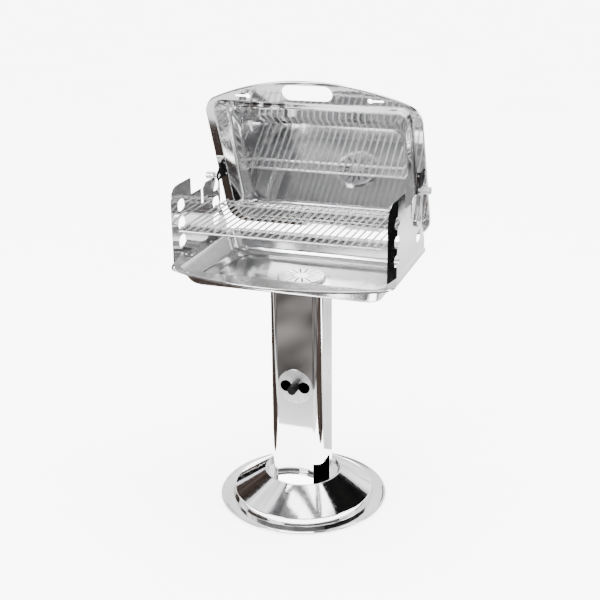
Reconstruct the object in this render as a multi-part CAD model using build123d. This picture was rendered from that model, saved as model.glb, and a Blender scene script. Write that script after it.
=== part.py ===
from build123d import *
import os
from math import atan2, cos, degrees, radians, sin, sqrt, tan

# Pedestal charcoal barbecue, millimetres.
# X is to the right, Y to the back and Z up. The user stands at the front, at -Y.
# The origin is the middle of the base's underside.

# Base: a spun cone with a sunk well for the column, closed below by a floor dish
BASE_RADIUS = 200.0
BASE_SKIRT_HEIGHT = 3.5
BASE_RING_WIDTH = 32.0
BASE_STEP_RUN = 3.5
BASE_STEP_HEIGHT = 20.0
BASE_STEP_ROUND = 2.5
BASE_SKIRT_ROUND = 1.6
BASE_HEIGHT = 70.0
BASE_WELL_RADIUS = 86.0
BASE_WELL_DEPTH = 13.0
BASE_WELL_ROUND = 4.0
BASE_SHEET = 1.0
FLOOR_SHEET = 1.0

# Column: two half shells that lap at the sides
COLUMN_WIDTH = 125.0
COLUMN_DEPTH = 100.0
COLUMN_CORNER = 20.0
COLUMN_SHEET = 1.0
SEAM_GAP = 0.6
SEAM_LAP = 14.0
SEAM_SCREW_LOW_Z = 122.0
SEAM_SCREW_HIGH_Z = 324.0
COLUMN_TAB_LENGTH = 60.0
COLUMN_TAB_WIDTH = 16.0
COLUMN_BOLT_SPACING = 44.0
LIGHTING_HOLE_TOP_Z = 105.0

# Air damper on the column's front
DAMPER_HEIGHT = 300.0
DAMPER_RADIUS = 42.0
DAMPER_SHEET = 1.0
AIR_HOLE_RADIUS = 14.0
AIR_HOLE_OFFSET = 22.0
KNOB_RADIUS = 10.5
KNOB_LENGTH = 26.0
KNOB_ROUND = 3.0
STUD_RADIUS = 2.5
STUD_IN_KNOB = 15.0
WASHER_SHEET = 1.0
WASHER_RADIUS = 6.0

# Tray: the form shared by the fire pan and the lid, measured from its datum
RIM_HEIGHT = 601.0
TRAY_WIDTH = 508.0
TRAY_FRONT = 263.0
TRAY_REAR = 138.0
TRAY_DEPTH = 53.0
TRAY_SHEET = 1.0
ARCH_RADIUS = 546.0
FRONT_CORNER = 48.0
REAR_CORNER = 45.0
LIP_WIDTH = 1.6
LIP_HEIGHT = 5.0
FRONT_FLANGE = 56.0
SIDE_FLANGE = 22.0
REAR_FLANGE = 22.0
OPENING_CORNER = 29.0
FRONT_WALL_RUN = 76.0
SIDE_WALL_RUN = 35.0
REAR_WALL_RUN = 19.0
WALL_BEND_DEPTH = 0.77
WALL_BEND_RUN = 0.45

# Fire pan and the grate over its chimney hole
PAN_SETBACK = 37.0
CHIMNEY_RADIUS = 35.0
FLANGE_SLOT_X = 64.0
FLANGE_SLOT_INSET = 30.0
FLANGE_SLOT_LENGTH = 12.0
FLANGE_SLOT_WIDTH = 4.0
FIRE_GRATE_RADIUS = 55.0
FIRE_GRATE_HEIGHT = 7.0
FIRE_GRATE_SHEET = 1.0
FIRE_GRATE_ROUND = 2.5
FIRE_SLOTS = 16
FIRE_SLOT_WIDTH = 4.0
FIRE_SLOT_INNER = 16.0
FIRE_SLOT_OUTER = 48.0

# Wind panels on the pan's side flanges
PANEL_INSET = 8.0
PANEL_SHEET = 1.0
PANEL_FRONT_Y = -157.0
PANEL_HEIGHT = 174.0
PANEL_FRONT_ROUND = 32.0
PANEL_BEND = 5.0
PANEL_NECK_Y = 119.0
PANEL_NECK_HEIGHT = 67.0
PANEL_HEEL_Y = 152.0
PANEL_HEEL_HEIGHT = 20.0
RECESS_FRONT_Y = -42.0
HUMP_FRONT_Y = 38.0
HUMP_REAR_Y = 80.0
HUMP_HEIGHT = 9.0
HUMP_RAMP = 12.0
EAR_WIDTH = 10.0
EAR_RISE = 7.0
HOLE_FRONT_Y = -98.0
HOLE_REAR_Y = 92.0
HOLE_LOW_LEVEL = 43.0
HOLE_LEVEL_STEP = 41.0
HOLE_LEVEL_COUNT = 3
HOLE_LENGTH = 38.0
HOLE_HEIGHT = 26.0
BOLT_SLOT_WIDTH = 11.0
BOLT_SLOT_DEPTH = 31.0
PANEL_FOOT_FRONT_Y = -67.0
PANEL_FOOT_REAR_Y = 40.0
PANEL_FOOT_WIDTH = 22.0
PANEL_FOOT_REACH = 14.0

# Lid and the arms it swings on
PIVOT_Y = 62.4
PIVOT_HEIGHT = 81.0
LID_LEAN = 22.5
LID_FRONT_DEPTH = 48.0
LID_REAR_DEPTH = 34.0
LID_BOLT_DROP = 32.8
LID_BOLT_ALONG = 20.0
ARM_SHEET = 2.0
ARM_WIDTH = 18.0
ARM_STANDOFF = 3.0
PIVOT_RADIUS = 3.0
PIVOT_HEAD_RADIUS = 7.0
PIVOT_HEAD_HEIGHT = 3.5
PIVOT_WASHER_RADIUS = 8.0
LUG_SHEET = 1.5
LUG_RADIUS = 11.0
LUG_LENGTH = 44.0
LUG_LEG_WIDTH = 9.0
LUG_RIVET_SPACING = 30.0
SPACER_LENGTH = 9.0
SPACER_RADIUS = 4.2
LID_BOLT_RADIUS = 3.0
LID_HEAD_RADIUS = 6.0
LID_HEAD_HEIGHT = 3.6
THUMB_NUT_RADIUS = 8.5
THUMB_NUT_LENGTH = 18.0
THUMB_NUT_BORE = 14.0
THUMB_NUT_GROOVES = 14
THUMB_NUT_GROOVE = 1.1

# Lid openings
HAND_HOLE_LENGTH = 116.0
HAND_HOLE_WIDTH = 38.0
HAND_HOLE_INSET = 28.5
KEYHOLE_INNER_X = 142.0
KEYHOLE_OUTER_X = 172.0
KEYHOLE_INSET = 41.0
KEYHOLE_ROUND = 6.0
KEYHOLE_SLOT = 5.5

# Cooking grate
BAR_PITCH = 16.2
BAR_SIDE_ROOM = 17.0
BAR_RADIUS = 1.8
WIRE_RADIUS = 2.5
GRATE_FRONT_Y = -150.0
GRATE_REAR_Y = 122.0
GRATE_LEVEL = 1
WIRE_END_OUT = 2.0
WIRE_CRANK = 6.0
WIRE_CRANK_RUN = 6.0
WIRE_CRANK_INSET = 6.0
WIRE_BEND = 6.0

# Fasteners and fits
RIVET_RADIUS = 1.6
RIVET_HEAD_RADIUS = 2.8
RIVET_HEAD_HEIGHT = 1.1
SCREW_RADIUS = 2.0
SCREW_HEAD_RADIUS = 4.0
SCREW_HEAD_HEIGHT = 2.2
NUT_PER_THREAD = 2.0
NUT_HEIGHT = 3.0
SCREW_TAIL = 2.0
HOLE_FIT = 0.05
RUNNING_FIT = 0.1
REST_GAP = 0.3
SEAT_GAP = 1.4
CUT_OVER = 1.0

# Places worked out from the sizes above
WELL_FLOOR_Z = BASE_HEIGHT - BASE_WELL_DEPTH + BASE_SHEET / 2
PAN_FLOOR_Z = RIM_HEIGHT - TRAY_DEPTH
COLUMN_TOP_Z = PAN_FLOOR_Z - TRAY_SHEET
COLUMN_FRONT_Y = -COLUMN_DEPTH / 2
DISC_BACK_Y = COLUMN_FRONT_Y - REST_GAP
DISC_FRONT_Y = DISC_BACK_Y - DAMPER_SHEET
STUD_INSIDE_Y = COLUMN_FRONT_Y + COLUMN_SHEET + REST_GAP
TAB_BOLT_Y = COLUMN_DEPTH / 2 - COLUMN_SHEET - COLUMN_TAB_WIDTH / 2
PANEL_X = TRAY_WIDTH / 2 - PANEL_INSET
PANEL_OUTER_X = PANEL_X + PANEL_SHEET
PANEL_TOP_Z = RIM_HEIGHT + PANEL_HEIGHT
FOOT_SCREW_X = PANEL_X - PANEL_FOOT_REACH / 2
HOLE_Z = [RIM_HEIGHT + HOLE_LOW_LEVEL + i * HOLE_LEVEL_STEP for i in range(HOLE_LEVEL_COUNT)]
PIVOT_Z = RIM_HEIGHT + PIVOT_HEIGHT
CLOSED_RIM_Z = PANEL_TOP_Z + REST_GAP
CLOSED_BOLT_Y = PAN_SETBACK - LID_BOLT_ALONG
CLOSED_BOLT_Z = CLOSED_RIM_Z - LID_BOLT_DROP
RECESS_Z = CLOSED_BOLT_Z - SPACER_RADIUS - SEAT_GAP
ARM_INNER_X = PANEL_OUTER_X + ARM_STANDOFF
ARM_OUTER_X = ARM_INNER_X + ARM_SHEET
LUG_OUTER_X = ARM_INNER_X - SPACER_LENGTH
LUG_INNER_X = LUG_OUTER_X - LUG_SHEET
LUG_RIVET_X = LUG_OUTER_X - LUG_LEG_WIDTH / 2
LUG_RIVET_YS = (CLOSED_BOLT_Y - LUG_RIVET_SPACING / 2, CLOSED_BOLT_Y + LUG_RIVET_SPACING / 2)
WIRE_END_Z = HOLE_Z[GRATE_LEVEL] - HOLE_HEIGHT / 2 + WIRE_RADIUS + REST_GAP
GRATE_WIRE_Z = WIRE_END_Z + WIRE_CRANK
GRATE_BAR_Z = GRATE_WIRE_Z + WIRE_RADIUS + BAR_RADIUS
BARS_PER_SIDE = int((PANEL_X - BAR_SIDE_ROOM) / BAR_PITCH)


def mirrored(shape):
    """The same piece on the other side of the YZ plane."""
    return shape.mirror(Plane.YZ)


def along_x(radius, start, end, y, z):
    """A round bar parallel to X, from one x to another."""
    bar = Cylinder(radius, end - start, align=(Align.CENTER, Align.CENTER, Align.MIN))
    return Pos(start, y, z) * Rot(0, 90, 0) * bar


def along_y(radius, start, end, x, z):
    """A round bar parallel to Y, from one y to another."""
    bar = Cylinder(radius, end - start, align=(Align.CENTER, Align.CENTER, Align.MIN))
    return Pos(x, start, z) * Rot(-90, 0, 0) * bar


def upright(radius, bottom, top, x=0.0, y=0.0):
    """A round bar parallel to Z, from one height to another."""
    bar = Cylinder(radius, top - bottom, align=(Align.CENTER, Align.CENTER, Align.MIN))
    return Pos(x, y, bottom) * bar


def block(x0, x1, y0, y1, z0, z1):
    """A box between two corners."""
    middle = Pos((x0 + x1) / 2, (y0 + y1) / 2, (z0 + z1) / 2)
    return middle * Box(x1 - x0, y1 - y0, z1 - z0)


def dome_head(radius, height):
    """A shallow domed head that stands on z = 0."""
    sphere_radius = (radius ** 2 + height ** 2) / (2 * height)
    cap = Pos(0, 0, height - sphere_radius) * Sphere(sphere_radius)
    keep = Cylinder(radius * 2, height, align=(Align.CENTER, Align.CENTER, Align.MIN))
    return cap & keep


def hex_nut(bore):
    """A hexagon nut that stands on z = 0, with its bore along Z."""
    face = RegularPolygon(bore * NUT_PER_THREAD, 6) - Circle(bore + HOLE_FIT)
    return extrude(face, NUT_HEIGHT)


def side_of_line(points, distance):
    """The points of an open line moved sideways, mitred at each corner."""
    moved = []
    for i, point in enumerate(points):
        before = points[max(i - 1, 0)]
        after = points[min(i + 1, len(points) - 1)]
        back = (point - before).normalized() if i > 0 else (after - point).normalized()
        ahead = (after - point).normalized() if i < len(points) - 1 else back
        mitre = Vector(-back.Y - ahead.Y, back.X + ahead.X).normalized()
        normal = Vector(-back.Y, back.X)
        moved.append(point + mitre * (distance / mitre.dot(normal)))
    return moved


def sheet_section(corners, rounds, thickness):
    """The cross-section of a bent sheet: a line with rounded corners, made thick."""
    points = [Vector(*corner) for corner in corners]
    half = thickness / 2
    sides = []
    for sign in (1, -1):
        radii = []
        for i, bend in enumerate(rounds):
            back = points[i + 1] - points[i]
            ahead = points[i + 2] - points[i + 1]
            turn = 1 if back.X * ahead.Y - back.Y * ahead.X > 0 else -1
            radii.append(bend - sign * turn * half)
        sides.append(FilletPolyline(*side_of_line(points, sign * half), radius=radii))
    left, right = sides
    ends = [Line(left @ 0, right @ 0), Line(left @ 1, right @ 1)]
    return make_face([*left.edges(), *right.edges(), *ends])


def base_cone():
    """Spun base: skirt, flat ring, steep step, cone and well, with the column's four studs."""
    skirt_r = BASE_RADIUS - BASE_SHEET / 2
    ring_inner = BASE_RADIUS - BASE_RING_WIDTH
    ring_z = BASE_SKIRT_HEIGHT - BASE_SHEET / 2
    corners = [
        (skirt_r, 0),
        (skirt_r, ring_z),
        (ring_inner, ring_z),
        (ring_inner - BASE_STEP_RUN, BASE_STEP_HEIGHT),
        (BASE_WELL_RADIUS, BASE_HEIGHT),
        (BASE_WELL_RADIUS, BASE_HEIGHT - BASE_WELL_DEPTH),
        (0, BASE_HEIGHT - BASE_WELL_DEPTH),
    ]
    rounds = [BASE_SKIRT_ROUND, BASE_STEP_ROUND, BASE_STEP_ROUND, BASE_WELL_ROUND, BASE_WELL_ROUND]
    section = sheet_section(corners, rounds, BASE_SHEET)
    cone = revolve(Plane.XZ * section, Axis.Z)
    stud_top = WELL_FLOOR_Z + COLUMN_SHEET + NUT_HEIGHT + SCREW_TAIL
    for x, y in tab_bolt_places():
        cone += upright(SCREW_RADIUS, WELL_FLOOR_Z - BASE_SHEET, stud_top, x, y)
    return cone


def tab_bolt_places():
    """The four places where the column's tabs are bolted, at its foot and at its top."""
    return [(x, y) for x in (-COLUMN_BOLT_SPACING / 2, COLUMN_BOLT_SPACING / 2)
            for y in (-TAB_BOLT_Y, TAB_BOLT_Y)]


def base_floor():
    """Flat dish pressed into the skirt, which closes the base below."""
    radius = BASE_RADIUS - BASE_SHEET - REST_GAP
    dish_top = BASE_SKIRT_HEIGHT - BASE_SHEET
    inside = radius - BASE_SKIRT_ROUND
    dish = upright(inside, 0, dish_top) - upright(inside - FLOOR_SHEET, FLOOR_SHEET, dish_top)
    return dish + upright(radius, 0, FLOOR_SHEET)


def foot_nuts():
    """Nuts on the well's studs, over the column's foot tabs."""
    seat = WELL_FLOOR_Z + COLUMN_SHEET
    return Compound(children=[Pos(x, y, seat) * hex_nut(SCREW_RADIUS)
                              for x, y in tab_bolt_places()])


def column_half(front):
    """One half of the column's tube, with a bolting tab at its foot and at its top."""
    side = -1 if front else 1
    outer = RectangleRounded(COLUMN_WIDTH, COLUMN_DEPTH, COLUMN_CORNER)
    inner = RectangleRounded(COLUMN_WIDTH - 2 * COLUMN_SHEET, COLUMN_DEPTH - 2 * COLUMN_SHEET,
                             COLUMN_CORNER - COLUMN_SHEET)
    keep = Pos(0, side * (COLUMN_DEPTH + SEAM_GAP) / 2) * Rectangle(COLUMN_WIDTH, COLUMN_DEPTH)
    height = COLUMN_TOP_Z - WELL_FLOOR_Z
    shell = Pos(0, 0, WELL_FLOOR_Z) * extrude((outer - inner) & keep, height)
    wall_y = side * (COLUMN_DEPTH / 2 - COLUMN_SHEET)
    tab_y = wall_y - side * COLUMN_TAB_WIDTH
    low_y, high_y = sorted((wall_y + side * COLUMN_SHEET / 2, tab_y))
    half_tab = COLUMN_TAB_LENGTH / 2
    for tab_z in (WELL_FLOOR_Z, COLUMN_TOP_Z - COLUMN_SHEET):
        shell += block(-half_tab, half_tab, low_y, high_y, tab_z, tab_z + COLUMN_SHEET)
    for x, y in tab_bolt_places():
        shell -= upright(SCREW_RADIUS + HOLE_FIT, 0, RIM_HEIGHT, x, y)
    return shell


def seam_screw_places():
    """Height and side of each seam screw."""
    heights = (SEAM_SCREW_LOW_Z, SEAM_SCREW_HIGH_Z)
    return [(height, side) for height in heights for side in (-1, 1)]


def seam_screw_hole(height, side):
    """A hole through the lapped side walls, for one seam screw."""
    reach = COLUMN_SHEET * 4
    edge = side * COLUMN_WIDTH / 2
    return along_x(SCREW_RADIUS + HOLE_FIT, edge - reach, edge + reach, SEAM_LAP / 2, height)


def lighting_hole():
    """The space of the opening at the column's foot, round its right front corner."""
    return block(COLUMN_WIDTH / 2 - COLUMN_CORNER, COLUMN_WIDTH / 2 + CUT_OVER,
                 COLUMN_FRONT_Y - CUT_OVER, SEAM_LAP,
                 WELL_FLOOR_Z - CUT_OVER, LIGHTING_HOLE_TOP_Z)


def column_front_shell():
    """Front half of the column, with its side laps, the air holes and the lighting hole."""
    shell = column_half(front=True)
    lap_outer = COLUMN_WIDTH / 2 - COLUMN_SHEET
    lap = block(lap_outer - COLUMN_SHEET, lap_outer, -SEAM_LAP, SEAM_LAP, WELL_FLOOR_Z, COLUMN_TOP_Z)
    shell += lap
    shell += mirrored(lap)
    for height, side in seam_screw_places():
        shell -= seam_screw_hole(height, side)
    wall = (COLUMN_FRONT_Y - COLUMN_SHEET, COLUMN_FRONT_Y + COLUMN_SHEET * 2)
    for x in (-AIR_HOLE_OFFSET, AIR_HOLE_OFFSET):
        shell -= along_y(AIR_HOLE_RADIUS, *wall, x, DAMPER_HEIGHT)
    shell -= along_y(STUD_RADIUS + RUNNING_FIT, *wall, 0, DAMPER_HEIGHT)
    return shell - lighting_hole()


def column_rear_shell():
    """Rear half of the column, screwed over the front half's laps."""
    shell = column_half(front=False)
    for height, side in seam_screw_places():
        shell -= seam_screw_hole(height, side)
    return shell - lighting_hole()


def seam_screws():
    """Domed screws through the laps at the column's sides."""
    edge = COLUMN_WIDTH / 2
    tail = edge - 2 * COLUMN_SHEET - NUT_HEIGHT - SCREW_TAIL
    screw = along_x(SCREW_RADIUS, tail, edge, 0, 0)
    screw += Pos(edge, 0, 0) * Rot(0, 90, 0) * dome_head(SCREW_HEAD_RADIUS, SCREW_HEAD_HEIGHT)
    pair = {1: screw, -1: mirrored(screw)}
    return Compound(children=[Pos(0, SEAM_LAP / 2, height) * pair[side]
                              for height, side in seam_screw_places()])


def seam_nuts():
    """Nuts of the seam screws, inside the column."""
    seat = COLUMN_WIDTH / 2 - 2 * COLUMN_SHEET
    nut = Pos(seat, 0, 0) * Rot(0, -90, 0) * hex_nut(SCREW_RADIUS)
    pair = {1: nut, -1: mirrored(nut)}
    return Compound(children=[Pos(0, SEAM_LAP / 2, height) * pair[side]
                              for height, side in seam_screw_places()])


def damper_disc():
    """Turning plate with two air holes, in front of the column's own two holes."""
    disc = along_y(DAMPER_RADIUS, DISC_FRONT_Y, DISC_BACK_Y, 0, DAMPER_HEIGHT)
    cut = (DISC_FRONT_Y - CUT_OVER, DISC_BACK_Y + CUT_OVER)
    for x in (-AIR_HOLE_OFFSET, AIR_HOLE_OFFSET):
        disc -= along_y(AIR_HOLE_RADIUS, *cut, x, DAMPER_HEIGHT)
    return disc - along_y(STUD_RADIUS + HOLE_FIT, *cut, 0, DAMPER_HEIGHT)


def damper_knob():
    """Plastic knob with a rounded front and a blind hole for the stud."""
    front = DISC_FRONT_Y - KNOB_LENGTH
    knob = along_y(KNOB_RADIUS, front, DISC_FRONT_Y, 0, DAMPER_HEIGHT)
    knob = fillet(knob.edges().group_by(Axis.Y)[0], KNOB_ROUND)
    hole_front = DISC_FRONT_Y - STUD_IN_KNOB
    return knob - along_y(STUD_RADIUS + HOLE_FIT, hole_front, DISC_FRONT_Y, 0, DAMPER_HEIGHT)


def damper_stud():
    """Threaded stud that joins the knob and the disc to the nut inside the column."""
    stud_rear = STUD_INSIDE_Y + WASHER_SHEET + NUT_HEIGHT + SCREW_TAIL
    return along_y(STUD_RADIUS, DISC_FRONT_Y - STUD_IN_KNOB, stud_rear, 0, DAMPER_HEIGHT)


def damper_washer():
    """Washer behind the column's wall, under the damper's nut."""
    end = STUD_INSIDE_Y + WASHER_SHEET
    washer = along_y(WASHER_RADIUS, STUD_INSIDE_Y, end, 0, DAMPER_HEIGHT)
    return washer - along_y(STUD_RADIUS + HOLE_FIT, COLUMN_FRONT_Y, end + CUT_OVER, 0, DAMPER_HEIGHT)


def damper_nut():
    """Nut on the damper's stud, inside the column."""
    seat = STUD_INSIDE_Y + WASHER_SHEET
    return Pos(0, seat, DAMPER_HEIGHT) * Rot(-90, 0, 0) * hex_nut(STUD_RADIUS)


def rim_outline(inset):
    """The tray's outer edge, moved inwards: straight sides and rear, arched front."""
    half = TRAY_WIDTH / 2 - inset
    rear = TRAY_REAR - inset
    arch = ARCH_RADIUS - inset
    arch_centre = ARCH_RADIUS - TRAY_FRONT
    shoulder = arch_centre - sqrt(arch ** 2 - half ** 2)
    face = make_face([
        Line((half, shoulder), (half, rear)),
        Line((half, rear), (-half, rear)),
        Line((-half, rear), (-half, shoulder)),
        ThreePointArc((-half, shoulder), (0, arch_centre - arch), (half, shoulder)),
    ])
    face = fillet(face.vertices().group_by(Axis.Y)[-1], REAR_CORNER - inset)
    front_corners = [v for v in face.vertices() if abs(v.Y - shoulder) < 1e-3]
    return fillet(front_corners, FRONT_CORNER - inset)


def wall_outline(run, growth):
    """Middle and outline of the tray's wall: run is 0 at the rim and 1 at the floor."""
    half = TRAY_WIDTH / 2 - SIDE_FLANGE - SIDE_WALL_RUN * run + growth
    front = FRONT_FLANGE - TRAY_FRONT + FRONT_WALL_RUN * run - growth
    rear = TRAY_REAR - REAR_FLANGE - REAR_WALL_RUN * run + growth
    face = RectangleRounded(2 * half, rear - front, OPENING_CORNER + growth)
    return (front + rear) / 2, face


def floor_slope(front_depth, rear_depth):
    """Angle by which a tray's floor rises from its front edge to its rear edge."""
    length = TRAY_FRONT - FRONT_FLANGE - FRONT_WALL_RUN + TRAY_REAR - REAR_FLANGE - REAR_WALL_RUN
    return degrees(atan2(front_depth - rear_depth, length))


def wall_solid(growth, front_depth, rear_depth):
    """The space inside the tray's walls, grown outwards and downwards by one thickness."""
    middle = (front_depth + rear_depth) / 2
    slope = floor_slope(front_depth, rear_depth)
    sections = []
    for depth, run in ((0, 0), (WALL_BEND_DEPTH, WALL_BEND_RUN), (1, 1)):
        y, outline = wall_outline(run, growth)
        sections.append(Pos(0, y, -depth * middle - growth) * Rot(depth * slope, 0, 0) * outline)
    return loft(sections, ruled=True)


def tray(front_depth, rear_depth):
    """Pressed tray: flange with a turned-down lip, sloping walls and a flat floor."""
    flange = Pos(0, 0, -TRAY_SHEET) * extrude(rim_outline(0), TRAY_SHEET)
    lip_face = rim_outline(0) - rim_outline(LIP_WIDTH)
    lip = Pos(0, 0, -LIP_HEIGHT) * extrude(lip_face, LIP_HEIGHT)
    depths = (front_depth, rear_depth)
    return flange + lip + wall_solid(TRAY_SHEET, *depths) - wall_solid(0, *depths)


def panel_screw_places():
    """The four places where the wind panels are screwed to the pan's flange."""
    return [(x, y) for x in (-FOOT_SCREW_X, FOOT_SCREW_X)
            for y in (PANEL_FOOT_FRONT_Y, PANEL_FOOT_REAR_Y)]


def fire_pan():
    """Tray that holds the charcoal, over the column's chimney."""
    pan = Pos(0, PAN_SETBACK, RIM_HEIGHT) * tray(TRAY_DEPTH, TRAY_DEPTH)
    floor_cut = (COLUMN_TOP_Z - CUT_OVER, PAN_FLOOR_Z + CUT_OVER)
    pan -= upright(CHIMNEY_RADIUS, *floor_cut)
    for x, y in tab_bolt_places():
        pan -= upright(SCREW_RADIUS + HOLE_FIT, *floor_cut, x, y)
    rim_cut = (RIM_HEIGHT - TRAY_SHEET - CUT_OVER, RIM_HEIGHT + CUT_OVER)
    for x, y in panel_screw_places():
        pan -= upright(SCREW_RADIUS + HOLE_FIT, *rim_cut, x, y)
    slot_y = PAN_SETBACK - TRAY_FRONT + FLANGE_SLOT_INSET
    slot = extrude(SlotOverall(FLANGE_SLOT_LENGTH, FLANGE_SLOT_WIDTH), TRAY_SHEET + 2 * CUT_OVER)
    for x in (-FLANGE_SLOT_X, FLANGE_SLOT_X):
        pan -= Pos(x, slot_y, rim_cut[0]) * slot
    return pan


def pan_bolts():
    """Bolts from the pan's floor down through the column's top tabs."""
    tail = COLUMN_TOP_Z - COLUMN_SHEET - NUT_HEIGHT - SCREW_TAIL
    bolt = upright(SCREW_RADIUS, tail, PAN_FLOOR_Z)
    bolt += Pos(0, 0, PAN_FLOOR_Z) * dome_head(SCREW_HEAD_RADIUS, SCREW_HEAD_HEIGHT)
    return Compound(children=[Pos(x, y, 0) * bolt for x, y in tab_bolt_places()])


def pan_nuts():
    """Nuts of the pan's bolts, under the column's top tabs."""
    seat = COLUMN_TOP_Z - COLUMN_SHEET - NUT_HEIGHT
    return Compound(children=[Pos(x, y, seat) * hex_nut(SCREW_RADIUS)
                              for x, y in tab_bolt_places()])


def fire_grate():
    """Round cap over the chimney hole, with slots like sun rays, on a short skirt."""
    foot = PAN_FLOOR_Z + REST_GAP
    top = foot + FIRE_GRATE_HEIGHT
    cap = upright(FIRE_GRATE_RADIUS, foot, top)
    cap = fillet(cap.edges().group_by(Axis.Z)[-1], FIRE_GRATE_ROUND)
    hollow_radius = FIRE_GRATE_RADIUS - FIRE_GRATE_ROUND
    cap -= upright(hollow_radius, foot - CUT_OVER, top - FIRE_GRATE_SHEET)
    length = FIRE_SLOT_OUTER - FIRE_SLOT_INNER
    slot = extrude(SlotOverall(length, FIRE_SLOT_WIDTH), FIRE_GRATE_HEIGHT)
    middle = (FIRE_SLOT_OUTER + FIRE_SLOT_INNER) / 2
    for place in PolarLocations(middle, FIRE_SLOTS):
        cap -= Pos(0, 0, top - FIRE_GRATE_SHEET - CUT_OVER) * place * slot
    return cap


def open_bolt():
    """Y and Z of the lid bolts with the lid open."""
    swing = radians(90 - LID_LEAN)
    ahead = CLOSED_BOLT_Y - PIVOT_Y
    above = CLOSED_BOLT_Z - PIVOT_Z
    return (PIVOT_Y + ahead * cos(swing) + above * sin(swing),
            PIVOT_Z - ahead * sin(swing) + above * cos(swing))


def panel_outline():
    """Side view of a wind panel, as a face in Y and Z."""
    bolt_y, bolt_z = open_bolt()
    seat_z = bolt_z - SPACER_RADIUS - SEAT_GAP
    ear_y = bolt_y + SPACER_RADIUS + REST_GAP
    ear_z = bolt_z + EAR_RISE
    hump_z = RECESS_Z + HUMP_HEIGHT
    neck_z = RIM_HEIGHT + PANEL_NECK_HEIGHT
    heel_z = RIM_HEIGHT + PANEL_HEEL_HEIGHT
    body = make_face(Polyline(
        (PANEL_FRONT_Y, RIM_HEIGHT),
        (PANEL_FRONT_Y, PANEL_TOP_Z),
        (RECESS_FRONT_Y, PANEL_TOP_Z),
        (RECESS_FRONT_Y, RECESS_Z),
        (HUMP_FRONT_Y - HUMP_RAMP, RECESS_Z),
        (HUMP_FRONT_Y, hump_z),
        (HUMP_REAR_Y, hump_z),
        (HUMP_REAR_Y + HUMP_RAMP, seat_z),
        (ear_y, seat_z),
        (ear_y, ear_z),
        (ear_y + EAR_WIDTH, ear_z),
        (PANEL_NECK_Y, seat_z),
        (PANEL_NECK_Y, neck_z),
        (PANEL_HEEL_Y, heel_z),
        (PANEL_HEEL_Y, RIM_HEIGHT),
        close=True,
    ).edges())
    front_edge = [v for v in body.vertices() if abs(v.X - PANEL_FRONT_Y) < 1e-3]
    return fillet(max(front_edge, key=lambda v: v.Y), PANEL_FRONT_ROUND)


def right_windshield():
    """Right wind panel: bent once at its front, with six oval holes and two feet."""
    bend = tan(radians(PANEL_BEND)) * (HOLE_FRONT_Y - PANEL_FRONT_Y)
    plan = make_face(Polyline(
        (PANEL_X, PANEL_HEEL_Y),
        (PANEL_X, HOLE_FRONT_Y),
        (PANEL_X - bend, PANEL_FRONT_Y),
        (PANEL_OUTER_X - bend, PANEL_FRONT_Y),
        (PANEL_OUTER_X, HOLE_FRONT_Y),
        (PANEL_OUTER_X, PANEL_HEEL_Y),
        close=True,
    ).edges())
    plate = Pos(0, 0, RIM_HEIGHT) * extrude(plan, PANEL_HEIGHT)
    plate &= extrude(Plane.YZ * panel_outline(), PANEL_OUTER_X)
    hole = extrude(Plane.YZ * SlotOverall(HOLE_LENGTH, HOLE_HEIGHT), TRAY_WIDTH / 2)
    for z in HOLE_Z:
        for y in (HOLE_FRONT_Y, HOLE_REAR_Y):
            plate -= Pos(0, y, z) * hole
    slot = Rectangle(BOLT_SLOT_WIDTH, BOLT_SLOT_DEPTH, align=(Align.CENTER, Align.MIN))
    slot += Circle(BOLT_SLOT_WIDTH / 2)
    slot_cut = extrude(Plane.YZ * slot, TRAY_WIDTH / 2)
    plate -= Pos(0, CLOSED_BOLT_Y, RECESS_Z - BOLT_SLOT_DEPTH) * slot_cut
    plate -= along_x(PIVOT_RADIUS + HOLE_FIT, 0, TRAY_WIDTH / 2, PIVOT_Y, PIVOT_Z)
    half_foot = PANEL_FOOT_WIDTH / 2
    foot_top = RIM_HEIGHT + PANEL_SHEET
    for y in (PANEL_FOOT_FRONT_Y, PANEL_FOOT_REAR_Y):
        foot = block(PANEL_X - PANEL_FOOT_REACH, PANEL_X + PANEL_SHEET / 2,
                     y - half_foot, y + half_foot, RIM_HEIGHT, foot_top)
        foot -= upright(SCREW_RADIUS + HOLE_FIT, RIM_HEIGHT - CUT_OVER, foot_top + CUT_OVER,
                        FOOT_SCREW_X, y)
        plate += foot
    return plate


def windshield_screws():
    """Screws through the panels' feet and the pan's flange."""
    seat = RIM_HEIGHT + PANEL_SHEET
    tail = RIM_HEIGHT - TRAY_SHEET - NUT_HEIGHT - SCREW_TAIL
    screw = upright(SCREW_RADIUS, tail, seat)
    screw += Pos(0, 0, seat) * dome_head(SCREW_HEAD_RADIUS, SCREW_HEAD_HEIGHT)
    return Compound(children=[Pos(x, y, 0) * screw for x, y in panel_screw_places()])


def windshield_nuts():
    """Nuts of the panels' screws, under the pan's flange."""
    seat = RIM_HEIGHT - TRAY_SHEET - NUT_HEIGHT
    return Compound(children=[Pos(x, y, seat) * hex_nut(SCREW_RADIUS)
                              for x, y in panel_screw_places()])


def opened(shape):
    """A piece of the level, closed lid, swung up to the open position."""
    return shape.rotate(Axis((0, PIVOT_Y, PIVOT_Z), (1, 0, 0)), LID_LEAN - 90)


def both_sides(shape):
    """A right-hand piece and its mirror image, as one group."""
    return Compound(children=[shape, mirrored(shape)])


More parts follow.
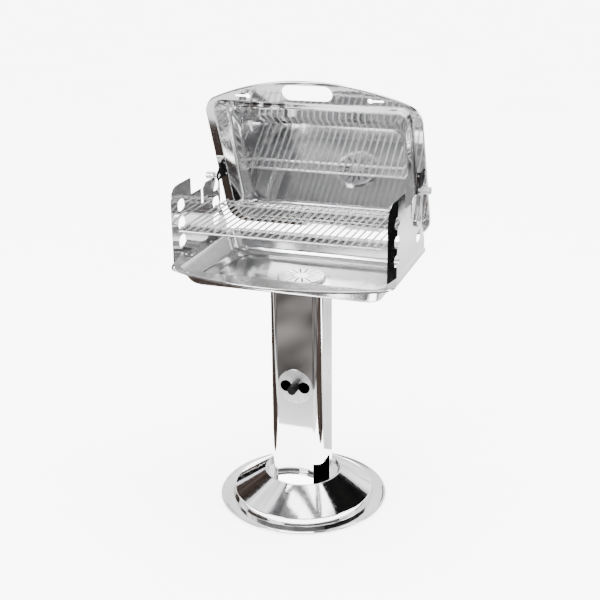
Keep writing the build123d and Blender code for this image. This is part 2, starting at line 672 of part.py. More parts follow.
def lid():
    """A tray turned over, with a hand hole, two keyholes and its rivet holes."""
    shell = tray(LID_FRONT_DEPTH, LID_REAR_DEPTH)
    shell = Pos(0, PAN_SETBACK, CLOSED_RIM_Z) * Rot(0, 180, 0) * shell
    front = PAN_SETBACK - TRAY_FRONT
    below = CLOSED_RIM_Z - CUT_OVER
    above = CLOSED_RIM_Z + TRAY_SHEET + CUT_OVER
    hand_hole = extrude(SlotOverall(HAND_HOLE_LENGTH, HAND_HOLE_WIDTH), above - below)
    shell -= Pos(0, front + HAND_HOLE_INSET, below) * hand_hole
    length = KEYHOLE_OUTER_X - KEYHOLE_INNER_X + KEYHOLE_SLOT
    keyhole = Pos((KEYHOLE_INNER_X + KEYHOLE_OUTER_X) / 2, 0) * SlotOverall(length, KEYHOLE_SLOT)
    keyhole += Pos(KEYHOLE_INNER_X, 0) * Circle(KEYHOLE_ROUND)
    keyhole_cut = Pos(0, front + KEYHOLE_INSET, below) * extrude(keyhole, above - below)
    shell -= keyhole_cut
    shell -= mirrored(keyhole_cut)
    for y in LUG_RIVET_YS:
        for x in (-LUG_RIVET_X, LUG_RIVET_X):
            shell -= upright(RIVET_RADIUS + HOLE_FIT, below, above, x, y)
    return opened(shell)


def right_lid_lug():
    """Angle bracket under the lid's right flange, with an eye for the lid bolt."""
    top = CLOSED_RIM_Z
    eye = Circle(LUG_RADIUS)
    edge = Pos(0, LID_BOLT_DROP) * Rectangle(LUG_LENGTH, LUG_SHEET, align=(Align.CENTER, Align.MAX))
    profile = make_hull([*eye.edges(), *edge.edges()])
    plate = extrude(Plane.YZ * (Pos(CLOSED_BOLT_Y, CLOSED_BOLT_Z) * profile), LUG_SHEET)
    lug = Pos(LUG_INNER_X, 0, 0) * plate
    half = LUG_LENGTH / 2
    lug += block(LUG_OUTER_X - LUG_LEG_WIDTH, LUG_OUTER_X,
                 CLOSED_BOLT_Y - half, CLOSED_BOLT_Y + half, top - LUG_SHEET, top)
    lug -= along_x(LID_BOLT_RADIUS + HOLE_FIT, LUG_INNER_X - CUT_OVER, LUG_OUTER_X + CUT_OVER,
                   CLOSED_BOLT_Y, CLOSED_BOLT_Z)
    for y in LUG_RIVET_YS:
        lug -= upright(RIVET_RADIUS + HOLE_FIT, top - LUG_SHEET - CUT_OVER, top + CUT_OVER,
                       LUG_RIVET_X, y)
    return opened(lug)


def lug_rivets():
    """Rivets that hold both lugs to the lid's flanges."""
    under = CLOSED_RIM_Z - LUG_SHEET
    above = CLOSED_RIM_Z + TRAY_SHEET
    head = dome_head(RIVET_HEAD_RADIUS, RIVET_HEAD_HEIGHT)
    rivet = upright(RIVET_RADIUS, under, above)
    rivet += Pos(0, 0, above) * head
    rivet += Pos(0, 0, under) * Rot(180, 0, 0) * head
    return Compound(children=[opened(Pos(x, y, 0) * rivet) for y in LUG_RIVET_YS
                              for x in (-LUG_RIVET_X, LUG_RIVET_X)])


def right_lid_arm():
    """Flat strap outside the right panel, from the pivot up to the lid bolt."""
    pivot_end = Pos(PIVOT_Y, PIVOT_Z) * Circle(ARM_WIDTH / 2)
    bolt_end = Pos(CLOSED_BOLT_Y, CLOSED_BOLT_Z) * Circle(ARM_WIDTH / 2)
    strap = make_hull([*pivot_end.edges(), *bolt_end.edges()])
    arm = Pos(ARM_INNER_X, 0, 0) * extrude(Plane.YZ * strap, ARM_SHEET)
    cut = (ARM_INNER_X - CUT_OVER, ARM_OUTER_X + CUT_OVER)
    arm -= along_x(PIVOT_RADIUS + RUNNING_FIT, *cut, PIVOT_Y, PIVOT_Z)
    arm -= along_x(LID_BOLT_RADIUS + HOLE_FIT, *cut, CLOSED_BOLT_Y, CLOSED_BOLT_Z)
    return opened(arm)


def lid_bolts():
    """Domed bolts through the lugs, the spacers and the arms."""
    tip = ARM_OUTER_X + RUNNING_FIT + THUMB_NUT_BORE - REST_GAP
    bolt = along_x(LID_BOLT_RADIUS, LUG_INNER_X, tip, CLOSED_BOLT_Y, CLOSED_BOLT_Z)
    head = Rot(0, -90, 0) * dome_head(LID_HEAD_RADIUS, LID_HEAD_HEIGHT)
    bolt += Pos(LUG_INNER_X, CLOSED_BOLT_Y, CLOSED_BOLT_Z) * head
    return both_sides(opened(bolt))


def lid_spacers():
    """Tubes on the lid bolts that cross over the panels' edges, from lug to arm."""
    spacer = along_x(SPACER_RADIUS, LUG_OUTER_X, ARM_INNER_X, CLOSED_BOLT_Y, CLOSED_BOLT_Z)
    spacer -= along_x(LID_BOLT_RADIUS + HOLE_FIT, LUG_OUTER_X - CUT_OVER, ARM_INNER_X + CUT_OVER,
                      CLOSED_BOLT_Y, CLOSED_BOLT_Z)
    return both_sides(opened(spacer))


def right_thumb_nut():
    """Round nut with finger grooves on the outer end of the right lid bolt."""
    face = Circle(THUMB_NUT_RADIUS)
    groove = Circle(THUMB_NUT_GROOVE)
    for place in PolarLocations(THUMB_NUT_RADIUS, THUMB_NUT_GROOVES):
        face -= place * groove
    nut = extrude(face, THUMB_NUT_LENGTH)
    nut -= upright(LID_BOLT_RADIUS + HOLE_FIT, -CUT_OVER, THUMB_NUT_BORE)
    seat = ARM_OUTER_X + RUNNING_FIT
    return opened(Pos(seat, CLOSED_BOLT_Y, CLOSED_BOLT_Z) * Rot(0, 90, 0) * nut)


def pivot_bolts():
    """Bolts that the arms turn on, with their heads outside."""
    seat = ARM_OUTER_X + RUNNING_FIT
    tail = PANEL_X - NUT_HEIGHT - SCREW_TAIL
    bolt = along_x(PIVOT_RADIUS, tail, seat, PIVOT_Y, PIVOT_Z)
    head = Rot(0, 90, 0) * dome_head(PIVOT_HEAD_RADIUS, PIVOT_HEAD_HEIGHT)
    return both_sides(bolt + Pos(seat, PIVOT_Y, PIVOT_Z) * head)


def pivot_washers():
    """Thick washers that keep the arms clear of the panels and of the grate's ends."""
    end = ARM_INNER_X - RUNNING_FIT
    washer = along_x(PIVOT_WASHER_RADIUS, PANEL_OUTER_X, end, PIVOT_Y, PIVOT_Z)
    washer -= along_x(PIVOT_RADIUS + HOLE_FIT, PANEL_X, ARM_INNER_X, PIVOT_Y, PIVOT_Z)
    return both_sides(washer)


def pivot_nuts():
    """Nuts of the pivot bolts, inside the panels."""
    return both_sides(Pos(PANEL_X, PIVOT_Y, PIVOT_Z) * Rot(0, -90, 0) * hex_nut(PIVOT_RADIUS))


def grate_bars():
    """The bars that carry the food, front to back, on top of the cross wires."""
    return Compound(children=[along_y(BAR_RADIUS, GRATE_FRONT_Y, GRATE_REAR_Y,
                                      i * BAR_PITCH, GRATE_BAR_Z)
                              for i in range(-BARS_PER_SIDE, BARS_PER_SIDE + 1)])


def support_wire(y):
    """A cross wire whose cranked ends rest in the panels' oval holes."""
    end_x = PANEL_OUTER_X + WIRE_END_OUT
    low_x = PANEL_X - WIRE_CRANK_INSET
    high_x = low_x - WIRE_CRANK_RUN
    right = [(high_x, GRATE_WIRE_Z), (low_x, WIRE_END_Z), (end_x, WIRE_END_Z)]
    left = [(-x, z) for x, z in reversed(right)]
    points = [(x, y, z) for x, z in left + right]
    path = FilletPolyline(*points, radius=WIRE_BEND)
    section = Plane(origin=points[0], z_dir=(1, 0, 0)) * Circle(WIRE_RADIUS)
    return sweep(section, path)


def grate_cross_wires():
    """Two straight end wires and two support wires, under the bars."""
    half = BARS_PER_SIDE * BAR_PITCH + BAR_RADIUS
    ends = [along_x(WIRE_RADIUS, -half, half, y, GRATE_WIRE_Z)
            for y in (GRATE_FRONT_Y + WIRE_RADIUS, GRATE_REAR_Y - WIRE_RADIUS)]
    supports = [support_wire(y) for y in (HOLE_FRONT_Y, HOLE_REAR_Y)]
    return Compound(children=ends + supports)


def main():
    """Build every piece and write each to its own file."""
    right_panel = right_windshield()
    right_lug = right_lid_lug()
    right_arm = right_lid_arm()
    right_nut = right_thumb_nut()
    pieces = {
        "base_cone": base_cone(),
        "base_floor": base_floor(),
        "column_front_shell": column_front_shell(),
        "column_rear_shell": column_rear_shell(),
        "column_foot_nuts": foot_nuts(),
        "column_seam_screws": seam_screws(),
        "column_seam_nuts": seam_nuts(),
        "damper_disc": damper_disc(),
        "damper_knob": damper_knob(),
        "damper_stud": damper_stud(),
        "damper_washer": damper_washer(),
        "damper_nut": damper_nut(),
        "fire_pan": fire_pan(),
        "pan_bolts": pan_bolts(),
        "pan_nuts": pan_nuts(),
        "fire_grate": fire_grate(),
        "left_windshield": mirrored(right_panel),
        "right_windshield": right_panel,
        "windshield_screws": windshield_screws(),
        "windshield_nuts": windshield_nuts(),
        "lid": lid(),
        "left_lid_lug": mirrored(right_lug),
        "right_lid_lug": right_lug,
        "lug_rivets": lug_rivets(),
        "left_lid_arm": mirrored(right_arm),
        "right_lid_arm": right_arm,
        "lid_bolts": lid_bolts(),
        "lid_spacers": lid_spacers(),
        "left_thumb_nut": mirrored(right_nut),
        "right_thumb_nut": right_nut,
        "pivot_bolts": pivot_bolts(),
        "pivot_washers": pivot_washers(),
        "pivot_nuts": pivot_nuts(),
        "grate_bars": grate_bars(),
        "grate_cross_wires": grate_cross_wires(),
    }
    os.makedirs("parts", exist_ok=True)
    for name, piece in pieces.items():
        export_step(piece, f"parts/{name}.step")


main()
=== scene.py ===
# %% [markdown]
# # A pedestal charcoal barbecue in polished steel
#
# The barbecue is sheet steel all over: a spun base, a folded column, two pressed
# trays (one is the fire pan, the other the lid) and two cut wind panels. A mirror
# finish shows every bend as a band of light, so the pressed and spun pieces are made
# again here as fine smooth surfaces, and the flat and small pieces are kept from the
# CAD model and only get their finish.

# %% Setup
import math

import bmesh
import bpy
import numpy as np
from mathutils import Matrix, geometry


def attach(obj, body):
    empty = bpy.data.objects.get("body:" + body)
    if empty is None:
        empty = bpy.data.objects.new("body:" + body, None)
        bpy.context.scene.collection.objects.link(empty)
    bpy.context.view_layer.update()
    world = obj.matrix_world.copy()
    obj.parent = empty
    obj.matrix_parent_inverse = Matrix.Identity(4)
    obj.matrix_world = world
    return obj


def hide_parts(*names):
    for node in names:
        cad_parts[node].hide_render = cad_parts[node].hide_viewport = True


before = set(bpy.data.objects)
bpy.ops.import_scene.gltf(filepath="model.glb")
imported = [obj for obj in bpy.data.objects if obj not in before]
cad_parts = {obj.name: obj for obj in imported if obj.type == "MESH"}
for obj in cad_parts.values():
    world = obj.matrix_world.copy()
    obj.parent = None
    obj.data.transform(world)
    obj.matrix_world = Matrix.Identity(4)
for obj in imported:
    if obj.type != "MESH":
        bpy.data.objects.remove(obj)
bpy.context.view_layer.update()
MM = 0.001

# %% [markdown]
# ## Tools for surfaces
#
# Every new piece is a list of points and faces. A path with rounded corners gives the
# sections of bent sheet: each corner is cut back to two tangent points and an arc is
# laid between them, which is what a press or a spinning roller leaves. A Bevel modifier
# could round a finished mesh as well, but a drawn arc keeps its exact radius and an even
# row of points, and a mirror shows any unevenness.


# %% Paths and meshes
WELD_DISTANCE = 2e-6
SHARP_ANGLE = math.radians(40.0)
FLAT_FACE_WEIGHT = 80


def rounded_path(corners, radii, steps):
    """Open path through the corners. At corner C with half angle h the arc of radius r
    starts r / tan(h) before C and ends as far after it. Its centre lies r / sin(h) along
    the bisector, and between the start and end arms it blends by the sines of the sweep."""
    corners = np.asarray(corners, float)
    t = np.linspace(0, 1, steps + 1)[:, None]
    path = [corners[:1]]
    for before, corner, after, radius in zip(corners, corners[1:], corners[2:], radii):
        back = (before - corner) / np.linalg.norm(before - corner)
        ahead = (after - corner) / np.linalg.norm(after - corner)
        half = math.acos(np.clip(back @ ahead, -1, 1)) / 2
        bisector = (back + ahead) / np.linalg.norm(back + ahead)
        centre = corner + bisector * radius / math.sin(half)
        start = corner + back * radius / math.tan(half) - centre
        end = corner + ahead * radius / math.tan(half) - centre
        sweep = math.acos(np.clip(start @ end / radius ** 2, -1, 1))
        arms = start * np.sin((1 - t) * sweep) + end * np.sin(t * sweep)
        path.append(centre + arms / math.sin(sweep))
    return np.concatenate([*path, corners[-1:]])


def ring_grid(rings):
    """Quads between neighbouring closed rings of n points. Point j of ring i has index i * n + j."""
    rings = np.asarray(rings, float)
    count, size = rings.shape[:2]
    here = np.arange(count * size).reshape(count, size)
    beside = np.roll(here, -1, axis=1)
    faces = np.stack([here[:-1], beside[:-1], beside[1:], here[1:]], axis=-1)
    return rings.reshape(-1, 3), faces.reshape(-1, 4)


def new_piece(name, parts, material):
    """One object from several (points, faces) parts in millimetres. Points that meet are
    welded, faces are turned outwards, and edges past the sharp angle stay crisp."""
    firsts = np.cumsum([0] + [len(points) for points, _ in parts])
    points = np.concatenate([points for points, _ in parts]) * MM
    faces = [face for first, (_, part) in zip(firsts, parts) for face in (part + first).tolist()]
    mesh = bpy.data.meshes.new(name)
    mesh.from_pydata(points.tolist(), [], faces)
    work = bmesh.new()
    work.from_mesh(mesh)
    bmesh.ops.remove_doubles(work, verts=work.verts, dist=WELD_DISTANCE)
    bmesh.ops.recalc_face_normals(work, faces=work.faces)
    work.to_mesh(mesh)
    work.free()
    mesh.shade_smooth()
    mesh.set_sharp_from_angle(angle=SHARP_ANGLE)
    mesh.materials.append(material)
    piece = bpy.data.objects.new(name, mesh)
    bpy.context.scene.collection.objects.link(piece)
    weigh = piece.modifiers.new("flat_faces_first", "WEIGHTED_NORMAL")
    weigh.keep_sharp = True
    weigh.weight = FLAT_FACE_WEIGHT
    print(name, "points", len(mesh.vertices), "faces", len(mesh.polygons))
    return piece


# %% [markdown]
# ## Finishes
#
# Polished stainless is a mirror with a very fine grain left by the polishing belt, and
# faint cloudy patches where hands and cloths have been. Pictures could carry both, but
# every piece would then need a flat map. Noise over the object's own coordinates needs
# none and has no seams, so both live in the roughness and in a shallow bump. What the
# steel shows comes from the lights and from the other pieces.


# %% Finish tools
NOISE_LOW, NOISE_HIGH = 0.3, 0.7
CLOUD_SCALE, GRAIN_DETAIL, GRAIN_HEIGHT = 9.0, 5.0, 0.0004
METAL_SHINE, PLASTIC_SHINE = 0.5, 0.05


def shader(name):
    """New material with its nodes, links, main shader and the object's own coordinates."""
    material = bpy.data.materials.new(name)
    material.use_nodes = True
    nodes, links = material.node_tree.nodes, material.node_tree.links
    coords = nodes.new("ShaderNodeTexCoord").outputs["Object"]
    return material, nodes, links, nodes["Principled BSDF"], coords


def noise(nodes, links, coords, stretch, scale, detail=3.0):
    """Noise over the object's coordinates, each axis stretched by its own factor."""
    mapping = nodes.new("ShaderNodeMapping")
    mapping.inputs["Scale"].default_value = stretch
    texture = nodes.new("ShaderNodeTexNoise")
    texture.inputs["Scale"].default_value = scale
    texture.inputs["Detail"].default_value = detail
    links.new(coords, mapping.inputs["Vector"])
    links.new(mapping.outputs["Vector"], texture.inputs["Vector"])
    return texture.outputs["Fac"]


def ramp(nodes, links, factor, low, high):
    """Colours from low to high as the factor goes through the noise's usual range."""
    node = nodes.new("ShaderNodeValToRGB")
    node.color_ramp.elements[0].position = NOISE_LOW
    node.color_ramp.elements[1].position = NOISE_HIGH
    node.color_ramp.elements[0].color = (*low, 1)
    node.color_ramp.elements[1].color = (*high, 1)
    links.new(factor, node.inputs["Fac"])
    return node.outputs["Color"]


def neutral(value):
    """A colour without tint."""
    return value, value, value


def steel(name, low, high, rough, grain_scale, bump, grain=(1, 1, 1), metallic=1.0):
    """Metal finish: cloudy tint, grain in the roughness and a shallow bump of the same grain."""
    material, nodes, links, main, coords = shader(name)
    cloud = noise(nodes, links, coords, (1, 1, 1), CLOUD_SCALE)
    fine = noise(nodes, links, coords, grain, grain_scale, GRAIN_DETAIL)
    links.new(ramp(nodes, links, cloud, low, high), main.inputs["Base Color"])
    spread = nodes.new("ShaderNodeMapRange")
    spread.inputs["From Min"].default_value = NOISE_LOW
    spread.inputs["From Max"].default_value = NOISE_HIGH
    spread.inputs["To Min"].default_value = rough[0]
    spread.inputs["To Max"].default_value = rough[1]
    links.new(fine, spread.inputs["Value"])
    links.new(spread.outputs["Result"], main.inputs["Roughness"])
    relief = nodes.new("ShaderNodeBump")
    relief.inputs["Strength"].default_value = bump
    relief.inputs["Distance"].default_value = GRAIN_HEIGHT
    links.new(fine, relief.inputs["Height"])
    links.new(relief.outputs["Normal"], main.inputs["Normal"])
    main.inputs["Metallic"].default_value = metallic
    main.inputs["Specular IOR Level"].default_value = METAL_SHINE if metallic else PLASTIC_SHINE
    return material


# %% [markdown]
# Each metal gets its own gloss. The belt-polished sheets are the clearest mirrors, the
# pan's drawn sheet and the spun base blur a little more, the damper's disc is satin, and
# plated wire and zinc screws are duller still. The lugs and the knob are dark plastic.

# %% Finishes
POLISHED = steel("polished_sheet", neutral(0.84), neutral(0.92), rough=(0.03, 0.08),
                 grain_scale=14.0, bump=0.002)
SPUN = steel("spun_base", neutral(0.80), neutral(0.90), rough=(0.05, 0.12),
             grain_scale=60.0, bump=0.01, grain=(1, 1, 8))
DRAWN = steel("drawn_sheet", neutral(0.84), neutral(0.92), rough=(0.09, 0.18),
              grain_scale=11.0, bump=0.02)
SATIN = steel("satin_disc", neutral(0.80), neutral(0.90), rough=(0.22, 0.32),
              grain_scale=90.0, bump=0.02)
CHROME = steel("chromed_wire", neutral(0.82), neutral(0.94), rough=(0.24, 0.38),
               grain_scale=120.0, bump=0.05)
BRIGHT = steel("bright_fastener", (0.62, 0.62, 0.63), neutral(0.80), rough=(0.12, 0.28),
               grain_scale=220.0, bump=0.10)
DARK = steel("dark_plastic", neutral(0.002), neutral(0.006), rough=(0.35, 0.50),
             grain_scale=900.0, bump=0.10, metallic=0.0)
print("finishes:", [m.name for m in (POLISHED, SPUN, DRAWN, SATIN, CHROME, BRIGHT, DARK)])

# %% [markdown]
# The column is polished only outside. Its inside keeps the dull skin of the rolling mill,
# and its colour there is painted near black as shade inside the hollow column. Two material
# slots could say so face by face, but the CAD mesh is left as it is, so the finish is chosen
# by place: the outer skin lies 20 mm from a core rectangle of 85 x 60 mm, the inner skin 19 mm.


# %% Column finish
CORE_HALF_WIDTH, CORE_HALF_DEPTH, ANY_HEIGHT = 0.0425, 0.030, 100.0
OUTER_SKIN, INNER_SKIN = 0.020, 0.019
# The inside colour is painted shade: near black, because the hollow column's inside lies in shadow. The
# dull roughness is the mill skin's own.
INSIDE_PAINTED_SHADE, DULL_ROUGHNESS = (0.05, 0.05, 0.052, 1), 0.6


def vector_step(nodes, links, operation, source, amount=(0, 0, 0)):
    """One vector operation on a socket, with a fixed second vector where it takes one."""
    node = nodes.new("ShaderNodeVectorMath")
    node.operation = operation
    node.inputs[1].default_value = amount
    links.new(source, node.inputs[0])
    return next(socket for socket in node.outputs if socket.enabled)


def column_sheet():
    """Polished steel outside. Inside, where the distance from the core, the length of
    max(|place| - half core, 0), is less than halfway between the two skins, dull steel whose colour is
    painted near black as shade."""
    material = POLISHED.copy()
    material.name = "column_sheet"
    nodes, links = material.node_tree.nodes, material.node_tree.links
    main = nodes["Principled BSDF"]
    coords = next(n for n in nodes if n.type == "TEX_COORD").outputs["Object"]
    half_core = (CORE_HALF_WIDTH, CORE_HALF_DEPTH, ANY_HEIGHT)
    folded = vector_step(nodes, links, "ABSOLUTE", coords)
    past_core = vector_step(nodes, links, "SUBTRACT", folded, half_core)
    outward = vector_step(nodes, links, "MAXIMUM", past_core)
    outside = nodes.new("ShaderNodeMath")
    outside.operation = "GREATER_THAN"
    outside.inputs[1].default_value = (OUTER_SKIN + INNER_SKIN) / 2
    links.new(vector_step(nodes, links, "LENGTH", outward), outside.inputs[0])
    # Inside the column the colour becomes the painted shade, and the roughness becomes the dull mill
    # skin's.
    for socket, kind, inside_shade_and_dullness in (("Base Color", "RGBA", INSIDE_PAINTED_SHADE), ("Roughness", "FLOAT", DULL_ROUGHNESS)):
        mix = nodes.new("ShaderNodeMix")
        mix.data_type = kind
        ends = {end.name: end for end in mix.inputs if end.enabled}
        ends["A"].default_value = inside_shade_and_dullness
        links.new(outside.outputs["Value"], ends["Factor"])
        links.new(main.inputs[socket].links[0].from_socket, ends["B"])
        links.new(next(end for end in mix.outputs if end.enabled), main.inputs[socket])
    return material


COLUMN = column_sheet()
print("column finish:", COLUMN.name)

# %% [markdown]
# ## Camera
#
# The camera stands in front and to the right, a little above the lid's middle, as the
# photograph's does. It could be set by eye, but round forms show a small error at once,
# so its place and turn were fitted to the base rim, the column's edges and the pan's rim.

# %% Camera
PHOTO_PIXELS, FOCAL_PIXELS, MIDDLE_PIXEL = 600.0, 1077.1, 281.66
SENSOR_WIDTH = 36.0
CAMERA_PLACE = (0.77187, -2.18388, 1.33930)
YAW, PITCH, ROLL = math.radians(20.59), math.radians(20.0), math.radians(-0.97)

level = np.array([math.cos(YAW), math.sin(YAW), 0.0])
inwards = np.array([-math.sin(YAW), math.cos(YAW), 0.0])
forward = math.cos(PITCH) * inwards - math.sin(PITCH) * np.array([0.0, 0.0, 1.0])
upward = np.cross(level, forward)
right = math.cos(ROLL) * level + math.sin(ROLL) * upward
up = math.cos(ROLL) * upward - math.sin(ROLL) * level

camera_data = bpy.data.cameras.new("camera")
camera_data.sensor_width = SENSOR_WIDTH
camera_data.lens = FOCAL_PIXELS * SENSOR_WIDTH / PHOTO_PIXELS
camera_data.shift_x = (PHOTO_PIXELS / 2 - MIDDLE_PIXEL) / PHOTO_PIXELS
camera = bpy.data.objects.new("camera", camera_data)
place = Matrix((right, up, -forward)).transposed().to_4x4()
place.translation = CAMERA_PLACE
camera.matrix_world = place
bpy.context.scene.collection.objects.link(camera)
bpy.context.scene.camera = camera
print("camera lens", round(camera_data.lens, 2))

# %% [markdown]
# ## Floor
#
# The barbecue stands on a plain pale floor that runs on past the picture's edge. A curved
# backdrop could hide the floor's end as well, but polished steel would mirror its bend, so
# it is one wide flat sheet. It has no gloss of its own, or it would mirror the stage.


# %% Floor
FLOOR_REACH, FLOOR_Z = 40.0, -0.0005
QUAD = [(0, 1, 2, 3)]


def stage_mesh(name, points, faces, material, only_in_steel=True):
    """A stage piece. Those only for the steel are hidden from the camera and from shading."""
    mesh = bpy.data.meshes.new(name)
    mesh.from_pydata(np.asarray(points, float).tolist(), [], faces)
    mesh.materials.append(material)
    made = bpy.data.objects.new(name, mesh)
    if only_in_steel:
        made.visible_camera = False
        made.visible_diffuse = False
        made.visible_shadow = False
        made.visible_transmission = False
    bpy.context.scene.collection.objects.link(made)
    return made


def rectangle(x0, x1, y0, y1, z):
    """Level rectangle between two corners."""
    return [(x0, y0, z), (x1, y0, z), (x1, y1, z), (x0, y1, z)]


def floor_sheet():
    """Matt pale floor with faint clouds."""
    material, nodes, links, main, coords = shader("pale_floor")
    cloud = noise(nodes, links, coords, (1, 1, 1), 1.5)
    links.new(ramp(nodes, links, cloud, neutral(0.90), neutral(0.93)), main.inputs["Base Color"])
    main.inputs["Roughness"].default_value = 0.7
    main.inputs["Specular IOR Level"].default_value = 0.0
    return material


floor_corners = rectangle(-FLOOR_REACH, FLOOR_REACH, -FLOOR_REACH, FLOOR_REACH, FLOOR_Z)
floor = stage_mesh("floor", floor_corners, QUAD, floor_sheet(), only_in_steel=False)
print("floor:", floor.name, 2 * FLOOR_REACH, "m wide")

# %% [markdown]
# ## What the steel sees
#
# A mirror in an all-white room looks like paper. Painting dark bands on the steel would
# break as soon as a joint moves, so the steel, and only the steel, sees a tent of dark and
# pale strips round the set and a few cards on the floor, as a photographer's flags: bends
# and edges pick them up as dark bands beside the white ones.


# %% Cloths
def glow(name, low, high, stretch=(1, 1, 1), scale=0.35):
    """Softly clouded cloth that gives its own even light, however the lamps stand."""
    material, nodes, links, main, coords = shader(name)
    cloud = noise(nodes, links, coords, stretch, scale, 1.0)
    links.new(ramp(nodes, links, cloud, low, high), main.inputs["Emission Color"])
    main.inputs["Emission Strength"].default_value = 1.0
    main.inputs["Base Color"].default_value = (0, 0, 0, 1)
    main.inputs["Specular IOR Level"].default_value = 0.0
    return material


brown = glow("brown_cloth", (0.030, 0.022, 0.019), (0.13, 0.095, 0.08), scale=1.2)
patched = glow("patched_cloth", (0.012, 0.010, 0.009), (0.42, 0.39, 0.38), (1, 0.5, 1), 6.0)
dusk = glow("dark_brown_cloth", (0.012, 0.009, 0.008), (0.045, 0.032, 0.026))
black = glow("black_cloth", neutral(0.004), neutral(0.012))
grey = glow("grey_cloth", (0.10, 0.10, 0.105), (0.34, 0.34, 0.35), scale=2.5)
pale = glow("pale_cloth", (1.0, 1.0, 1.03), (2.6, 2.6, 2.65), scale=1.5)
tent = glow("tent_cloth", (0.05, 0.05, 0.055), (0.30, 0.30, 0.31))
print("cloths:", [c.name for c in (brown, patched, dusk, black, grey, pale, tent)])

# %% [markdown]
# The tent is a dome. Its faces are sorted into strips by their compass angle, counted
# from +X towards +Y, and each strip has one cloth low down and one above.

# %% Tent
TENT_RADIUS, TENT_TURNS, TENT_ROWS, TENT_TOP_GAP = 7.0, 96, 18, 0.05
LOW_STRIP, TENT_TOP = 2.8, 6.6
# Each strip: the angle where it ends, its low cloth and its high cloth.
STRIPS = [
    (66, pale, black), (115, pale, pale), (139, black, pale), (144, pale, pale),
    (156, brown, brown), (165, dusk, dusk), (190, pale, pale), (235, brown, grey),
    (330, tent, tent), (360, tent, black),
]


def tent_cloth(x, y, z):
    """Grey overhead, else the low or high cloth of the strip that holds the place's angle."""
    angle = math.degrees(math.atan2(y, x)) % 360
    low, high = next(strip[1:] for strip in STRIPS if angle < strip[0])
    return grey if z > TENT_TOP else low if z < LOW_STRIP else high


turns = np.linspace(0, 2 * math.pi, TENT_TURNS, endpoint=False)
rises = np.linspace(0, math.pi / 2 - TENT_TOP_GAP, TENT_ROWS)[:, None]
dome = np.broadcast_arrays(np.cos(rises) * np.cos(turns), np.cos(rises) * np.sin(turns), np.sin(rises))
tent_points, tent_faces = ring_grid(TENT_RADIUS * np.stack(dome, axis=-1))
cloth_of = [tent_cloth(*middle) for middle in tent_points[tent_faces].mean(1)]
for cloth in (brown, dusk, black, grey, pale, tent):
    chosen = tent_faces[[c is cloth for c in cloth_of]].tolist()
    stage_mesh("tent_" + cloth.name, tent_points, chosen, cloth)
print("tent faces:", len(tent_faces))

# %% [markdown]
# Cards lie on the floor round the base. The column and the base mirror the nearest ones,
# so a card's edge is where a dark band in the steel begins.

# %% Cards
CARD_Z = 0.001
# Each card: its left and right edge, its front and rear edge, and its cloth.
CARDS = {
    "front_card": (-4, 3, -6, -0.69, patched),
    "near_card": (-0.35, 0.4, -0.69, -0.42, pale),
    "near_left_card": (-1.5, -0.35, -0.69, -0.5, pale),
    "left_card": (-5, -0.28, -0.5, 3, brown),
    "rear_card": (-0.28, 0.9, 0.22, 5, pale),
    "right_card": (0.36, 4, -0.69, 0.30, brown),
    "rear_right_card": (0.9, 4, 0.65, 5, black),
}
for name, (*edges, cloth) in CARDS.items():
    stage_mesh(name, rectangle(*edges, CARD_Z), QUAD, cloth)
print("cards:", len(CARDS))

# %% [markdown]
# ## Light
#
# Soft daylight from all round, with three square lamps. One strong lamp would be simpler,
# but it would leave a hard shadow on the floor and a single glare on the steel.


# %% Surround and lamps
SURROUND_LIGHT = 9.0


def lamp(name, place_at, aim, size, power):
    """Square soft lamp at a place, turned to shine at the aim."""
    data = bpy.data.lights.new(name, "AREA")
    data.shape = "SQUARE"
    data.size = size
    data.energy = power
    made = bpy.data.objects.new(name, data)
    made.location = place_at
    away = np.array(place_at, float) - np.array(aim, float)
    made.rotation_euler = (math.atan2(math.hypot(away[0], away[1]), away[2]), 0.0,
                           math.atan2(away[0], -away[1]))
    bpy.context.scene.collection.objects.link(made)
    return made


world = bpy.data.worlds.new("surround")
world.use_nodes = True
world.node_tree.nodes["Background"].inputs["Color"].default_value = (1.0, 1.0, 1.0, 1)
world.node_tree.nodes["Background"].inputs["Strength"].default_value = SURROUND_LIGHT
bpy.context.scene.world = world

lamps = [
    lamp("key_lamp", (-1.5, -2.8, 2.2), (0, 0, 0.6), size=1.5, power=110),
    lamp("side_lamp", (2.8, 0.2, 1.6), (0, 0, 0.5), size=1.4, power=60),
    lamp("top_lamp", (0.2, 0.3, 3.2), (0, 0, 0.6), size=1.8, power=70),
]
print("lamps:", len(lamps))

# %% [markdown]
# ## The two trays
#
# Pan and lid are pressed sheets with one outline. The flange has an arched front edge with
# a lip turned down all round, the walls slope in to a flat floor, and every bend is
# rounded. A subdivided box could be pulled into this form, but its corners would not keep
# their radii. So the outlines are drawn as lines and arcs, and the lip and the walls
# repeat them inwards and down along a profile.


# %% Tray outlines
ARCH = 546.0
HALF_WIDTH, FRONT, REAR = 254.0, -263.0, 138.0
FRONT_CORNER, REAR_CORNER = 48.0, 45.0
ARCH_STEPS, CORNER_STEPS, SIDE_STEPS, REAR_STEPS = 80, 24, 16, 24
OPEN_HALF, OPEN_FRONT, OPEN_REAR, OPEN_CORNER = 232.0, -207.0, 116.0, 29.0
RUN_SIDE, RUN_FRONT, RUN_REAR = 35.0, 76.0, 19.0
WALL_WIDE_STEPS, WALL_SIDE_STEPS, WALL_CORNER_STEPS = 40, 30, 20


def arc_points(centre, radius, start, end, count):
    """Points on a circle from the start angle up to, and not with, the end angle."""
    angles = np.linspace(start, end, count, endpoint=False)
    return np.stack([centre[0] + radius * np.cos(angles), centre[1] + radius * np.sin(angles)], 1)


def line_points(start, end, count):
    """Evenly spaced points from the start up to, and not with, the end."""
    t = np.linspace(0, 1, count, endpoint=False)[:, None]
    return np.array(start) * (1 - t) + np.array(end) * t


